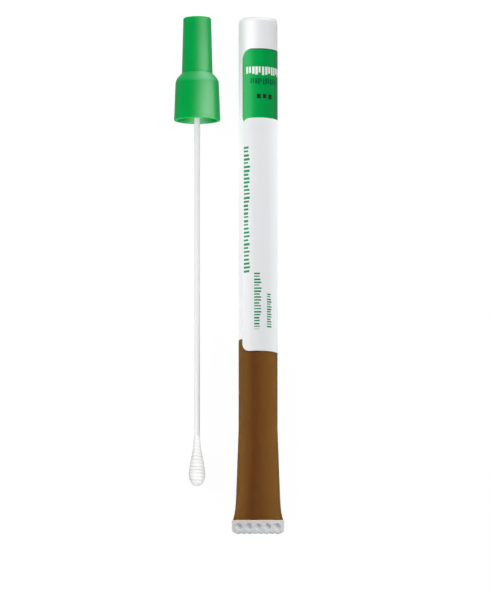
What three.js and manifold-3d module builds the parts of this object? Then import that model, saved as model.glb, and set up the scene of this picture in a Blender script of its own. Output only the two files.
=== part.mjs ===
// A specimen swab tube: a crimped plastic tube with a column of gel medium and two wrapped labels, and
// beside it the swab that goes in it, with its moulded cap, shaft and wound bud.
// Millimetres, +Z up. Both lie along Y on the surface z = 0, the tube's mouth and the cap towards +Y.
import * as THREE from 'three';
import { mergeVertices } from 'three/addons/utils/BufferGeometryUtils.js';
import Module from 'manifold-3d';

const { clamp, lerp, smoothstep, degToRad } = THREE.MathUtils;
const wasm = await Module();
wasm.setup();
const pi = Math.PI;

// Tube: round from its mouth, then pressed flat towards the seal. Depths are below the mouth.
const tubeLength = 166;
const tubeRadius = 6.2;
const tubeWall = 0.7;
const lipRounding = 0.22;
const flareLength = 29.4;
const flareEvenShare = 0.53; // the share of the widening that is even; the rest comes near the seal
const flareEndPower = 8;
const wedgePower = 1.5; // how the tube's height falls along the flare
const endSquareness = 1.5; // what the section's power, 2 for an ellipse, gains by the seal

// Seal: the flat end, where hot jaws have pressed the two walls into one plate
const sealLength = 4.3;
const sealWidth = 16.7;
const sealCrease = 0.2; // height of the hollow where the walls meet
const sealLedge = 0.1; // step from the tube up to the plate, all round
const sealRoot = 1; // how far the tube's own end reaches into the plate
const sealCornerRadius = 1.2;
const scallopCount = 8;
const scallopDepth = 0.3;
const dimpleCount = 5;
const dimpleFromSide = 2.35;
const dimpleFromEdge = 2.1;
const dimpleRadius = 1.15;
const dimpleDepth = 0.35;

// Medium
const mediumLength = 57.9; // from the seal to the top of the column
const mediumClearance = 0.3;
const mediumEndHeight = 0.6; // the thin end that it stops at, short of the seal
const meniscusDrop = 0.5;

// Labels: angles go round the tube from its top, and are positive on the side away from the swab
const labelThickness = 0.2;
const labelClearance = 0.1;
const labelEndAngle = degToRad(145);
const batchLabelDepth = 10.3;
const batchLabelLength = 25.2;
const batchLabelAngle = degToRad(-51.5);
const batchLabelCorner = 3.5;
const specimenLabelLength = 75.3;
const specimenLabelAngle = degToRad(-52.5);
const specimenLabelCorner = 3;
const labelLap = 2.7;
const labelRamp = 1; // along which the white label comes down off the green one

// Cap: heights are above its open rim
const capLength = 33.2;
const skirtHeight = 12.1;
const skirtClearance = 0.2; // to the tube, all round
const rimWall = 1;
const skirtTopWall = 0.52;
const shoulderFoot = 1; // from the skirt's inner roof up to where the shoulder's cone starts
const shoulderHeight = 2.15;
const shoulderRounding = 0.7;
const handleBaseRadius = 4.9;
const handleTopRadius = 4.45;
const handleWall = 0.9;
const handleEndWall = 1.2;
const handleEndRounding = 0.5;
const plugClearance = 0.1; // to the tube's bore, all round
const plugWall = 0.8;
const plugLength = 5;
const plugLeadIn = 0.3;
const socketWall = 0.9;
const socketDepth = 20.7;

// Swab
const shaftRadius = 0.93;
const shaftClearance = 0.1; // to the socket and to the fibre, all round
const shaftEndGap = 0.3;
const budFromRim = 101.3;
const budLength = 16;
const budTipLength = 3.6; // from the widest place to the tip
const budRadius = 2.6;
const budNeckWall = 0.1;
const budNeckLength = 1.6;
const budCover = 3.5; // fibre beyond the shaft's end
const windingPitch = 1.1;
const windingDepth = 0.1;

// Where the two lie
const swabGap = 5.8; // from the tube's side to the cap's rim
const capAhead = 0.3; // from the tube's mouth to the cap's end

// Faceting
const roundSegments = 48;
const flareSteps = 10;
const shaftSegments = 24;
const budSegments = 32;
const samplesPerTurn = 3;
const curveSteps = 4;
const wrapSteps = 26;
const dimpleSegments = 16;
const dimpleSteps = 3;

const tubeBore = tubeRadius - tubeWall;
const sealStart = tubeLength - sealLength;
const sealThickness = 2 * (tubeWall + sealLedge) + sealCrease;
const flareStart = sealStart - flareLength;
const flatHalfHeight = sealThickness / 2 - sealLedge;
const skirtBore = tubeRadius + skirtClearance;
const rimRadius = skirtBore + rimWall;
const shaftBore = shaftRadius + shaftClearance;

// Geometry helpers

function welded(geometry) {
  geometry.deleteAttribute('normal');
  geometry.deleteAttribute('uv');
  return mergeVertices(geometry, 1e-4);
}

function turned(points, segments) {
  return welded(new THREE.LatheGeometry(points, segments));
}

function solid(geometry) {
  const vertProperties = geometry.attributes.position.array;
  const triVerts = new Uint32Array(geometry.index.array);
  return new wasm.Manifold(new wasm.Mesh({ numProp: 3, vertProperties, triVerts }));
}

function geometryOf(made) {
  const { vertProperties, triVerts } = made.getMesh();
  const geometry = new THREE.BufferGeometry();
  geometry.setAttribute('position', new THREE.BufferAttribute(vertProperties, 3));
  geometry.setIndex(new THREE.BufferAttribute(triVerts, 1));
  return geometry;
}

function piece(name, geometry, color, roughness) {
  geometry.computeVertexNormals();
  const mesh = new THREE.Mesh(geometry, new THREE.MeshStandardMaterial({ color, roughness }));
  mesh.name = name;
  return mesh;
}

// Evenly spaced values from one to the other, both included
function spaced(from, to, steps) {
  return Array.from({ length: steps + 1 }, (_, i) => lerp(from, to, i / steps));
}

// Tube

const flareStations = spaced(sealStart, flareStart, flareSteps);

function flattened(depth) {
  return clamp((depth - flareStart) / flareLength, 0, 1);
}

function halfWidth(depth) {
  const t = flattened(depth);
  const widened = flareEvenShare * t + (1 - flareEvenShare) * t ** flareEndPower;
  return lerp(tubeRadius, sealWidth / 2 - sealLedge, widened);
}

function halfHeight(depth) {
  return lerp(tubeRadius, flatHalfHeight, flattened(depth) ** wedgePower);
}

// The depth at which the tube's half height has come down to a value
function depthAtHalfHeight(value) {
  const fallen = (tubeRadius - value) / (tubeRadius - flatHalfHeight);
  return flareStart + flareLength * fallen ** (1 / wedgePower);
}

// Moves what was turned round the tube's axis to where the jaws leave it. Each surface keeps its
// distance from the tube's outer surface.
function pressed(geometry) {
  const place = geometry.attributes.position;
  for (let i = 0; i < place.count; i += 1) {
    const radius = Math.hypot(place.getX(i), place.getZ(i));
    const depth = -place.getY(i);
    if (radius > 0 && flattened(depth) > 0) {
      const outside = radius - tubeRadius;
      const power = 2 / (2 + endSquareness * flattened(depth) ** 2);
      const squared = (share) => Math.sign(share) * Math.abs(share) ** power;
      place.setX(i, (halfWidth(depth) + outside) * squared(place.getX(i) / radius));
      place.setZ(i, (halfHeight(depth) + outside) * squared(place.getZ(i) / radius));
    }
  }
  return geometry;
}

// The jaws' plate, its outer corners rounded and its cut edge scalloped
function sealPlate() {
  const side = sealWidth / 2;
  const edge = scallopDepth - tubeLength;
  const pitch = (sealWidth - 2 * sealCornerRadius) / scallopCount;
  const outline = new THREE.Shape();
  outline.moveTo(side, -sealStart);
  outline.lineTo(-side, -sealStart);
  outline.lineTo(-side, edge + sealCornerRadius);
  outline.quadraticCurveTo(-side, edge, sealCornerRadius - side, edge);
  for (let i = 1; i <= scallopCount; i += 1) {
    const end = sealCornerRadius - side + i * pitch;
    outline.quadraticCurveTo(end - pitch / 2, edge - 2 * scallopDepth, end, edge);
  }
  outline.quadraticCurveTo(side, edge, side, edge + sealCornerRadius);
  const options = { depth: sealThickness, bevelEnabled: false, curveSegments: curveSteps };
  return welded(new THREE.ExtrudeGeometry(outline, options)).translate(0, 0, -sealThickness / 2);
}

// A cutter for one dimple, its bowl below the face that it cuts
function dimpleCutter() {
  const bowl = spaced(0, pi / 2, dimpleSteps).map(
    (angle) => new THREE.Vector2(dimpleRadius * Math.sin(angle), -dimpleDepth * Math.cos(angle)),
  );
  const above = [new THREE.Vector2(dimpleRadius, dimpleDepth), new THREE.Vector2(0, dimpleDepth)];
  return turned([...bowl, ...above], dimpleSegments).rotateX(pi / 2);
}

function tubeGeometry() {
  const lip = Math.min(lipRounding, tubeWall / 3);
  const wall = new THREE.Path();
  wall.moveTo(0, -sealStart - sealRoot);
  wall.lineTo(tubeRadius, -sealStart - sealRoot);
  flareStations.forEach((depth) => wall.lineTo(tubeRadius, -depth));
  wall.lineTo(tubeRadius, -lip);
  wall.quadraticCurveTo(tubeRadius, 0, tubeRadius - lip, 0);
  wall.lineTo(tubeBore + lip, 0);
  wall.quadraticCurveTo(tubeBore, 0, tubeBore, -lip);
  flareStations.toReversed().forEach((depth) => wall.lineTo(tubeBore, -depth));
  wall.lineTo(0, -sealStart);
  let made = solid(pressed(turned(wall.getPoints(curveSteps), roundSegments)));
  made = made.add(solid(sealPlate()));

  const outermost = sealWidth / 2 - dimpleFromSide;
  const y = dimpleFromEdge - tubeLength;
  spaced(-outermost, outermost, dimpleCount - 1).forEach((x) => {
    const upper = dimpleCutter().translate(x, y, sealThickness / 2);
    const lower = dimpleCutter().rotateY(pi).translate(x, y, -sealThickness / 2);
    made = made.subtract(solid(upper)).subtract(solid(lower));
  });
  return geometryOf(made);
}

// Medium: it set while the tube stood upright, so its top is square to the tube, with a meniscus

function mediumGeometry() {
  const radius = tubeBore - mediumClearance;
  const top = sealStart - mediumLength;
  const end = depthAtHalfHeight(tubeWall + mediumClearance + mediumEndHeight / 2);
  const stations = spaced(end, flareStart, flareSteps).filter((depth) => depth > top);
  const column = new THREE.Path();
  column.moveTo(0, -end);
  stations.forEach((depth) => column.lineTo(radius, -depth));
  column.lineTo(radius, -top);
  column.quadraticCurveTo(radius * 0.8, -top - meniscusDrop, 0, -top - meniscusDrop);
  return pressed(turned(column.getPoints(curveSteps), roundSegments));
}

// Labels

// How much a rounded corner takes off the label's end, at a distance in from the label's side
function cornerCut(fromSide, radius) {
  const left = Math.max(radius - fromSide, 0);
  return radius - Math.sqrt(radius ** 2 - left ** 2);
}

// A label wrapped round the tube from one depth to another. bends are the depths between them where
// it leaves the straight, and lift says how far it is held off the tube at a depth.
function labelGeometry({ top, bottom, startAngle, corner, bends, lift }) {
  const inner = tubeRadius + labelClearance;
  const width = inner * (labelEndAngle - startAngle);
  const atCorner = spaced(0, 1, curveSteps).map((t) => corner * (1 - Math.cos((t * pi) / 2)));
  const between = spaced(corner, width - corner, wrapSteps).slice(1, -1);
  const columns = [...atCorner, ...between, ...atCorner.map((x) => width - x).reverse()];
  const rows = [top, ...bends, bottom].map((depth) => (depth - top) / (bottom - top));
  const sheet = new THREE.BoxGeometry(1, 1, 1, columns.length - 1, rows.length - 1, 1);
  const place = sheet.attributes.position;
  for (let i = 0; i < place.count; i += 1) {
    const across = columns[Math.round((place.getX(i) + 0.5) * (columns.length - 1))];
    const down = rows[Math.round((0.5 - place.getY(i)) * (rows.length - 1))];
    const cut = cornerCut(Math.min(across, width - across), corner);
    const depth = lerp(top + cut, bottom - cut, down);
    const radius = inner + lift(depth) + (place.getZ(i) > 0 ? labelThickness : 0);
    const angle = startAngle + across / inner;
    place.setXYZ(i, radius * Math.sin(angle), -depth, radius * Math.cos(angle));
  }
  return pressed(welded(sheet));
}

const batchLabelEnd = batchLabelDepth + batchLabelLength;

function batchLabelGeometry() {
  return labelGeometry({
    top: batchLabelDepth,
    bottom: batchLabelEnd,
    startAngle: batchLabelAngle,
    corner: batchLabelCorner,
    bends: [],
    lift: () => 0,
  });
}

// The white label laps over the green one's lower edge, and beyond it comes down to the tube. If it
// reaches the flare, it follows it.
function specimenLabelGeometry() {
  const top = batchLabelEnd - labelLap;
  const bottom = top + specimenLabelLength;
  const rampStart = batchLabelEnd + labelClearance;
  const rampEnd = rampStart + labelRamp;
  const onFlare = flareStations.toReversed().filter((depth) => depth < bottom - specimenLabelCorner);
  return labelGeometry({
    top,
    bottom,
    startAngle: specimenLabelAngle,
    corner: specimenLabelCorner,
    bends: [rampStart, rampEnd, ...onFlare],
    lift: (depth) => (labelThickness + labelClearance) * (1 - smoothstep(depth, rampStart, rampEnd)),
  });
}

// Cap

function capGeometry() {
  const plugRadius = tubeBore - plugClearance;
  const plugBore = plugRadius - plugWall;
  const plugMouth = skirtHeight - plugLength;
  const skirtTopRadius = skirtBore + skirtTopWall;
  const shoulderStart = skirtHeight + shoulderFoot;
  const shoulderTop = shoulderStart + shoulderHeight;
  const roundedShare = shoulderRounding / shoulderHeight;
  const hollowTop = capLength - handleEndWall;
  const socketRadius = shaftBore + socketWall;
  const socketMouth = hollowTop - socketDepth;
  const socketFloor = hollowTop - shaftEndGap;
  const section = new THREE.Path();
  section.moveTo(0, socketFloor);
  section.lineTo(shaftBore, socketFloor);
  section.lineTo(shaftBore, socketMouth);
  section.lineTo(socketRadius, socketMouth);
  section.lineTo(socketRadius, hollowTop);
  section.lineTo(handleTopRadius - handleWall, hollowTop);
  section.lineTo(handleBaseRadius - handleWall, shoulderTop);
  section.lineTo(plugBore, skirtHeight);
  section.lineTo(plugBore, plugMouth);
  section.lineTo(plugRadius - plugLeadIn, plugMouth);
  section.lineTo(plugRadius, plugMouth + 2 * plugLeadIn);
  section.lineTo(plugRadius, skirtHeight);
  section.lineTo(skirtBore, skirtHeight);
  section.lineTo(skirtBore, 0);
  section.lineTo(rimRadius, 0);
  section.lineTo(skirtTopRadius, shoulderStart - shoulderRounding);
  section.quadraticCurveTo(
    skirtTopRadius,
    shoulderStart,
    lerp(skirtTopRadius, handleBaseRadius, roundedShare),
    shoulderStart + shoulderRounding,
  );
  section.lineTo(handleBaseRadius, shoulderTop);
  section.lineTo(handleTopRadius, capLength - handleEndRounding);
  section.quadraticCurveTo(handleTopRadius, capLength, handleTopRadius - handleEndRounding, capLength);
  section.lineTo(0, capLength);
  return turned(section.getPoints(curveSteps), roundSegments);
}

// Swab shaft and bud

const budWidestAt = budLength - budTipLength;
const shaftTip = budFromRim + budLength - budCover;

function shaftGeometry() {
  const top = capLength - handleEndWall - 2 * shaftEndGap;
  const length = top + shaftTip;
  const rod = new THREE.CylinderGeometry(shaftRadius, shaftRadius, length, shaftSegments);
  return welded(rod).translate(0, top - length / 2, 0);
}

// The bud's radius at a distance from its neck, under its turns
function budRadiusAt(along) {
  if (along < budWidestAt) {
    return lerp(shaftBore + budNeckWall, budRadius, smoothstep(along, budNeckLength, budWidestAt));
  }
  return budRadius * Math.sqrt(Math.max(0, 1 - ((along - budWidestAt) / budTipLength) ** 2));
}

function budGeometry() {
  const turns = Math.round(budLength / windingPitch);
  const outline = spaced(budLength, 0, turns * samplesPerTurn).map((along, i) => {
    const fading = Math.min(1, (budLength - along) / windingPitch);
    const raised = windingDepth * fading * Math.abs(Math.sin((pi * i) / samplesPerTurn));
    return new THREE.Vector2(budRadiusAt(along) + raised, -budFromRim - along);
  });
  const bore = [
    new THREE.Vector2(shaftBore, -budFromRim),
    new THREE.Vector2(shaftBore, -shaftTip - shaftEndGap),
    new THREE.Vector2(0, -shaftTip - shaftEndGap),
  ];
  return turned([...outline, ...bore], budSegments);
}

// Assembly

const tube = new THREE.Group();
tube.add(
  piece('tube', tubeGeometry(), 0xe6e7e9, 0.35),
  piece('medium', mediumGeometry(), 0x6c4421, 0.4),
  piece('batch_label', batchLabelGeometry(), 0x0a9a50, 0.5),
  piece('specimen_label', specimenLabelGeometry(), 0xeef0f2, 0.5),
);
tube.position.z = tubeRadius;

// The swab rests on its cap's rim and on the widest turn of its bud, so it slopes down to the bud
const swab = new THREE.Group();
swab.add(
  piece('cap', capGeometry(), 0x149a54, 0.35),
  piece('swab_shaft', shaftGeometry(), 0xe4e5e7, 0.4),
  piece('swab_bud', budGeometry(), 0xf4f4f2, 0.95),
);
const slope = Math.atan((rimRadius - budRadius - windingDepth) / (budFromRim + budWidestAt));
const rimFromMouth = capAhead - capLength * Math.cos(slope);
swab.rotation.x = slope;
swab.position.set(-tubeRadius - swabGap - rimRadius, rimFromMouth, rimRadius * Math.cos(slope));

const specimenSwabTube = new THREE.Group();
specimenSwabTube.add(tube, swab);

// The origin is on the surface that they lie on, below the middle of the two
const extent = new THREE.Box3().setFromObject(specimenSwabTube, true);
const middle = extent.getCenter(new THREE.Vector3());
specimenSwabTube.position.set(-middle.x, -middle.y, 0);

export default specimenSwabTube;
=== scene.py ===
from bisect import bisect
from math import atan, atan2, cos, exp, hypot, pi, radians, sin, sqrt

import bmesh
import bpy
from mathutils import Matrix, Vector, noise


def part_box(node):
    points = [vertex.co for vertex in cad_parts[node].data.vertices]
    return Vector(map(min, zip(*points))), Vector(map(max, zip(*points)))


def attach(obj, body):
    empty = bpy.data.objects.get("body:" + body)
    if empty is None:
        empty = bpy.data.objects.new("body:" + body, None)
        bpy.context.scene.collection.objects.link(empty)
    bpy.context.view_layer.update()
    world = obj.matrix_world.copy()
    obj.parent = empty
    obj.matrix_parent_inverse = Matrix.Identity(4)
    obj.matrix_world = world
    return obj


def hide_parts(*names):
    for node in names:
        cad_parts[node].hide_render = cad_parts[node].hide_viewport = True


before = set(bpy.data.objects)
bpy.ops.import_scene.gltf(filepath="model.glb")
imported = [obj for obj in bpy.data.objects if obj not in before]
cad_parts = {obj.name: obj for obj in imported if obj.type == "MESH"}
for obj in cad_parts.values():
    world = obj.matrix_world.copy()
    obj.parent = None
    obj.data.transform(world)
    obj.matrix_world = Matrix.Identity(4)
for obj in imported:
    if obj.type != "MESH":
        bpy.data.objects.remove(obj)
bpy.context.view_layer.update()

# ---------------------------------------------------------------------------------------------
# Tube. One length of extruded natural polypropylene, cut square at the mouth, where the bore is
# reamed a little for the cap's plug. The other end is pressed flat between hot jaws, which leave a
# dimpled plate with a scalloped cut edge. It is modelled with its mouth at zero and its axis on Y.

MM = 0.001
tube_low, tube_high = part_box("tube")
TUBE_RADIUS = (tube_high.z - tube_low.z) / 2
TUBE_LENGTH = tube_high.y - tube_low.y
TUBE_WALL = 0.7 * MM
MOUTH = Vector(((tube_low.x + tube_high.x) / 2, tube_high.y, TUBE_RADIUS))
LIP_ROUNDING = 0.3 * MM
LIP_BAND, LIP_STEP = 1.35 * MM, 0.06 * MM
REAM_LENGTH = 1.3 * MM
REAM_DEPTH = 0.16 * MM
SEAL_WIDTH = tube_high.x - tube_low.x
SEAL_LENGTH = 4.3 * MM
SEAL_THICKNESS = 1.8 * MM
SEAL_LEDGE = 0.1 * MM
SEAL_ROOT = 1.0 * MM
SEAL_START = TUBE_LENGTH - SEAL_LENGTH
FLARE_LENGTH = 29.4 * MM
FLARE_START = SEAL_START - FLARE_LENGTH
FLARE_EVEN_SHARE, FLARE_END_POWER = 0.53, 8
WEDGE_POWER = 1.5
END_SQUARENESS = 1.5
MEDIUM_TOP = MOUTH.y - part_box("medium")[1].y
ROUND_STEPS, FLARE_STEPS, ROUNDING_STEPS = 144, 40, 4
SAME_POINT = 1e-7


def mix(a, b, share):
    return a + (b - a) * share


def clamp(value, low=0.0, high=1.0):
    return max(low, min(high, value))


def smoothstep(value, low, high):
    t = clamp((value - low) / (high - low))
    return t * t * (3 - 2 * t)


def evenly(start, end, steps):
    return [mix(start, end, i / steps) for i in range(steps + 1)]


def turned(profile, steps=ROUND_STEPS):
    """A mesh turned round Y from (radius, height, rounding) corners that start and end on the axis."""
    mesh = bmesh.new()
    line = [mesh.verts.new((radius, height, 0)) for radius, height, _ in profile]
    for pair in zip(line, line[1:]):
        mesh.edges.new(pair)
    for corner, (_, _, rounding) in zip(line, profile):
        if rounding:
            bmesh.ops.bevel(mesh, geom=[corner], offset=rounding, offset_type="OFFSET",
                            segments=ROUNDING_STEPS, profile=0.5, affect="VERTICES", material=-1)
    bmesh.ops.spin(mesh, geom=mesh.verts[:] + mesh.edges[:], cent=(0, 0, 0), axis=(0, 1, 0),
                   angle=2 * pi, steps=steps, use_merge=True)
    bmesh.ops.remove_doubles(mesh, verts=mesh.verts, dist=SAME_POINT)
    bmesh.ops.recalc_face_normals(mesh, faces=mesh.faces)
    return mesh


def piece(name, mesh, place, materials, node=None, crease=35):
    """Puts a finished mesh where it belongs in the frame, and hides the imported part that it stands in
    for.
    """
    mesh.transform(place)
    data = bpy.data.meshes.new(name)
    mesh.to_mesh(data)
    mesh.free()
    data.shade_smooth()
    data.set_sharp_from_angle(angle=radians(crease))
    for finish in materials:
        data.materials.append(finish)
    made = bpy.data.objects.new(name, data)
    bpy.context.collection.objects.link(made)
    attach(made, "root")
    if node:
        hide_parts(node)
    return made


def flattened(depth):
    """0 where the tube is still round, to 1 at the seal."""
    return clamp((depth - FLARE_START) / FLARE_LENGTH)


def half_width(depth):
    """Half the tube's width at a depth below the mouth."""
    t = flattened(depth)
    widened = mix(t, t ** FLARE_END_POWER, 1 - FLARE_EVEN_SHARE)
    return mix(TUBE_RADIUS, SEAL_WIDTH / 2 - SEAL_LEDGE, widened)


def pressed(mesh):
    """Moves what was turned round the tube's axis to where the jaws leave it."""
    flat = SEAL_THICKNESS / 2 - SEAL_LEDGE
    for vert in mesh.verts:
        radius, depth = hypot(vert.co.x, vert.co.z), -vert.co.y
        t = flattened(depth)
        if radius > 0 and t > 0:
            half_height = mix(TUBE_RADIUS, flat, t ** WEDGE_POWER)
            outside = radius - TUBE_RADIUS
            power = 2 / (2 + END_SQUARENESS * t * t)
            across, up = vert.co.x / radius, vert.co.z / radius
            vert.co.x = (half_width(depth) + outside) * abs(across) ** power * (1 if across > 0 else -1)
            vert.co.z = (half_height + outside) * abs(up) ** power * (1 if up > 0 else -1)


def tube_mesh():
    """The wall from the mouth down to a solid root that reaches into the plate."""
    bore = TUBE_RADIUS - TUBE_WALL
    flare = evenly(SEAL_START, FLARE_START, FLARE_STEPS)
    profile = [(0, -SEAL_START - SEAL_ROOT, 0), (TUBE_RADIUS, -SEAL_START - SEAL_ROOT, 0)]
    profile += [(TUBE_RADIUS, -depth, 0) for depth in flare]
    profile += [(TUBE_RADIUS, -MEDIUM_TOP, 0), (TUBE_RADIUS, -LIP_BAND - LIP_STEP, 0)]
    profile += [(TUBE_RADIUS - LIP_STEP, -LIP_BAND, 0), (TUBE_RADIUS - LIP_STEP, 0, LIP_ROUNDING)]
    profile += [(bore + REAM_DEPTH, 0, LIP_ROUNDING), (bore, -REAM_LENGTH, 0)]
    profile += [(bore, -MEDIUM_TOP, 0)] + [(bore, -depth, 0) for depth in reversed(flare)]
    profile += [(0, -SEAL_START, 0)]
    mesh = turned(profile)
    pressed(mesh)
    return mesh


# The plate is a grid on each face, its far edge drawn in to the scallops and the rounded corners.
SEAL_CORNER = 1.2 * MM
SCALLOP_COUNT, SCALLOP_DEPTH = 8, 0.3 * MM
DIMPLE_COUNT, DIMPLE_FROM_SIDE, DIMPLE_FROM_EDGE = 5, 2.35 * MM, 2.1 * MM
DIMPLE_RADIUS, DIMPLE_DEPTH, DIMPLE_BOWL = 1.15 * MM, 0.62 * MM, 0.8
PLATE_ROUNDING = 0.3 * MM
PLATE_COLUMNS, PLATE_ROWS = 200, 56
PEBBLE_SIZE, PEBBLE_HEIGHT = 0.8 * MM, 0.1 * MM


def plate_edge(x):
    """How far below the mouth the plate ends, at a place across it."""
    straight = SEAL_WIDTH / 2 - SEAL_CORNER
    if abs(x) > straight:
        over = min(abs(x) - straight, SEAL_CORNER)
        return TUBE_LENGTH - SCALLOP_DEPTH - SEAL_CORNER + sqrt(SEAL_CORNER ** 2 - over ** 2)
    wave = abs(sin(pi * SCALLOP_COUNT * (x + straight) / (2 * straight)))
    return TUBE_LENGTH - SCALLOP_DEPTH * (1 - wave)


def plate_height(x, depth):
    """The plate's surface above its middle: dimples and pebbles, falling off at its rim."""
    half = SEAL_THICKNESS / 2
    from_rim = min(SEAL_WIDTH / 2 - abs(x), plate_edge(x) - depth)
    fall = PLATE_ROUNDING - clamp(from_rim, 0, PLATE_ROUNDING)
    height = half - PLATE_ROUNDING + sqrt(max(PLATE_ROUNDING ** 2 - fall ** 2, 0))
    outermost = SEAL_WIDTH / 2 - DIMPLE_FROM_SIDE
    for at in evenly(-outermost, outermost, DIMPLE_COUNT - 1):
        away = hypot(x - at, depth - TUBE_LENGTH + DIMPLE_FROM_EDGE) / DIMPLE_RADIUS
        if away < 1:
            height -= DIMPLE_DEPTH * (1 - away * away) ** DIMPLE_BOWL
    pebble = noise.noise(Vector((x, depth, 0)) / PEBBLE_SIZE)
    return height + PEBBLE_HEIGHT * pebble * clamp(from_rim / PLATE_ROUNDING)


def plate_mesh():
    """The pressed plate: two faces with the same dimples, joined round their rims."""
    mesh = bmesh.new()
    rims = []
    for side in (1, -1):
        made = bmesh.ops.create_grid(mesh, x_segments=PLATE_COLUMNS, y_segments=PLATE_ROWS, size=1)
        own = set(made["verts"])
        for vert in made["verts"]:
            x = vert.co.x * SEAL_WIDTH / 2
            depth = mix(SEAL_START, plate_edge(x), (1 - vert.co.y) / 2)
            vert.co = (x, -depth, side * plate_height(x, depth))
        rims += [e for e in mesh.edges if e.is_boundary and e.verts[0] in own]
    bmesh.ops.bridge_loops(mesh, edges=rims)
    bmesh.ops.recalc_face_normals(mesh, faces=mesh.faces)
    return mesh


def material(name, **sockets):
    """A material whose Principled node has these plain values. Returns it, its tree and the node."""
    made = bpy.data.materials.new(name)
    made.use_nodes = True
    shader = made.node_tree.nodes["Principled BSDF"]
    for socket, value in sockets.items():
        shader.inputs[socket.replace("_", " ").title().replace("Ior", "IOR")].default_value = value
    return made, made.node_tree, shader


def node(tree, kind, inputs=(), **settings):
    """Adds a node, sets its settings, and sets or links its inputs in order; None leaves one."""
    made = tree.nodes.new("ShaderNode" + kind)
    for key, value in settings.items():
        setattr(made, key, value)
    for socket, value in zip(made.inputs, inputs):
        if isinstance(value, bpy.types.NodeSocket):
            tree.links.new(value, socket)
        elif value is not None:
            socket.default_value = value
    return made


def maths(tree, operation, *values):
    """The result of one calculation on numbers or sockets."""
    return node(tree, "Math", values, operation=operation).outputs[0]


def blend(tree, share, low, high):
    """A colour between two: a fixed share, or one that a node gives."""
    mixed = node(tree, "Mix", data_type="RGBA")
    for socket, value in ((0, share), (6, low), (7, high)):
        if isinstance(value, bpy.types.NodeSocket):
            tree.links.new(value, mixed.inputs[socket])
        else:
            mixed.inputs[socket].default_value = value
    return mixed.outputs[2]


def marked(mesh, name, value_at):
    """Gives each vertex a number that a material reads by that name."""
    layer = mesh.verts.layers.float.new(name)
    for vert in mesh.verts:
        vert[layer] = value_at(vert.co)


def mark(tree, name):
    """What marked() gave the mesh by that name."""
    return node(tree, "Attribute", attribute_name=name).outputs["Fac"]


def grain(tree, shader, size, height, stretch=(1, 1, 1), detail=3.0):
    """A fine uneven surface: noise of a given size in metres, as bump of a given height."""
    place = node(tree, "TexCoord").outputs["Object"]
    scaled = node(tree, "Mapping", [place, None, None, [1 / (size * s) for s in stretch]])
    bumps = node(tree, "TexNoise", [scaled.outputs[0], None, 1.0, detail])
    bump = node(tree, "Bump")
    bump.inputs["Strength"].default_value = 1.0
    bump.inputs["Distance"].default_value = height
    tree.links.new(bumps.outputs[0], bump.inputs["Height"])
    tree.links.new(bump.outputs[0], shader.inputs["Normal"])
    return bumps.outputs[0]


NOISE_LOW, NOISE_HIGH = 0.3, 0.7


def between(tree, value, low, high):
    """Spreads a noise over low to high."""
    spread = node(tree, "MapRange", [value, NOISE_LOW, NOISE_HIGH, low, high])
    return spread.outputs[0]


def open_to_lamps(made, share, tint=(1, 1, 1, 1), surface=None):
    """Lets that share of a lamp's light straight through, as a thin clear wall does."""
    tree = made.node_tree
    surface = surface or tree.nodes["Principled BSDF"].outputs[0]
    light = node(tree, "LightPath")
    lets = maths(tree, "MULTIPLY", light.outputs["Is Shadow Ray"], share)
    clear = node(tree, "BsdfTransparent", [tint])
    both = node(tree, "MixShader", [lets, surface, clear.outputs[0]])
    tree.links.new(both.outputs[0], tree.nodes["Material Output"].inputs["Surface"])


HAZE_SIZE, HAZE_HEIGHT, HAZE_DRAWN_OUT = 0.35 * MM, 0.002 * MM, (1, 8, 1)
WALL_ROUGHNESS, WALL_LETS_THROUGH = (0.44, 0.56), 0.4
WALL_GREY, WALL_WHITE = (0.72, 0.725, 0.735, 1), (0.985, 0.99, 1.0, 1)
WETTED_TINT, WETTED_ROUGHNESS, WETTED_IOR = (0.985, 0.975, 0.95, 1), 0.3, 1.15
WETTED_HAZE, WETTED_CALM = (0.28, 0.36), 0.8
SEAL_CLEAN, SEAL_STAINED = (0.70, 0.71, 0.725, 1), (0.86, 0.77, 0.68, 1)
FROST_SIZE, FROST_HEIGHT, FROST_ROUGHNESS = 0.16 * MM, 0.012 * MM, (0.24, 0.42)
LIP_GREY, LIP_HIGHLIGHT_WHITE = (0.765, 0.765, 0.77, 1), (0.985, 0.99, 0.995, 1)
POLISH_SIZE, POLISH_HEIGHT, POLISH_DRAWN_OUT = 0.4 * MM, 0.002 * MM, (1, 4, 1)
LIP_ROUGHNESS = 0.13, 0.2


def bare_wall():
    """Milky plastic with a faint haze drawn out along the tube, a painted highlight left of its top, and
    whiter lower down.
    """
    made, tree, shader = material("tube_bare_wall", base_color=(0.90, 0.905, 0.915, 1), roughness=0.5,
                                  transmission_weight=0.15, ior=1.45, specular_ior_level=0.12)
    haze = grain(tree, shader, HAZE_SIZE, HAZE_HEIGHT, HAZE_DRAWN_OUT)
    tree.links.new(between(tree, haze, *WALL_ROUGHNESS), shader.inputs["Roughness"])
    # Painted highlight: the wall is painted whiter a little left of its top, and whiter lower down.
    painted_highlight = blend(tree, mark(tree, "whiteness"), WALL_GREY, WALL_WHITE)
    tree.links.new(painted_highlight, shader.inputs["Base Color"])
    open_to_lamps(made, WALL_LETS_THROUGH)
    return made


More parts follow.
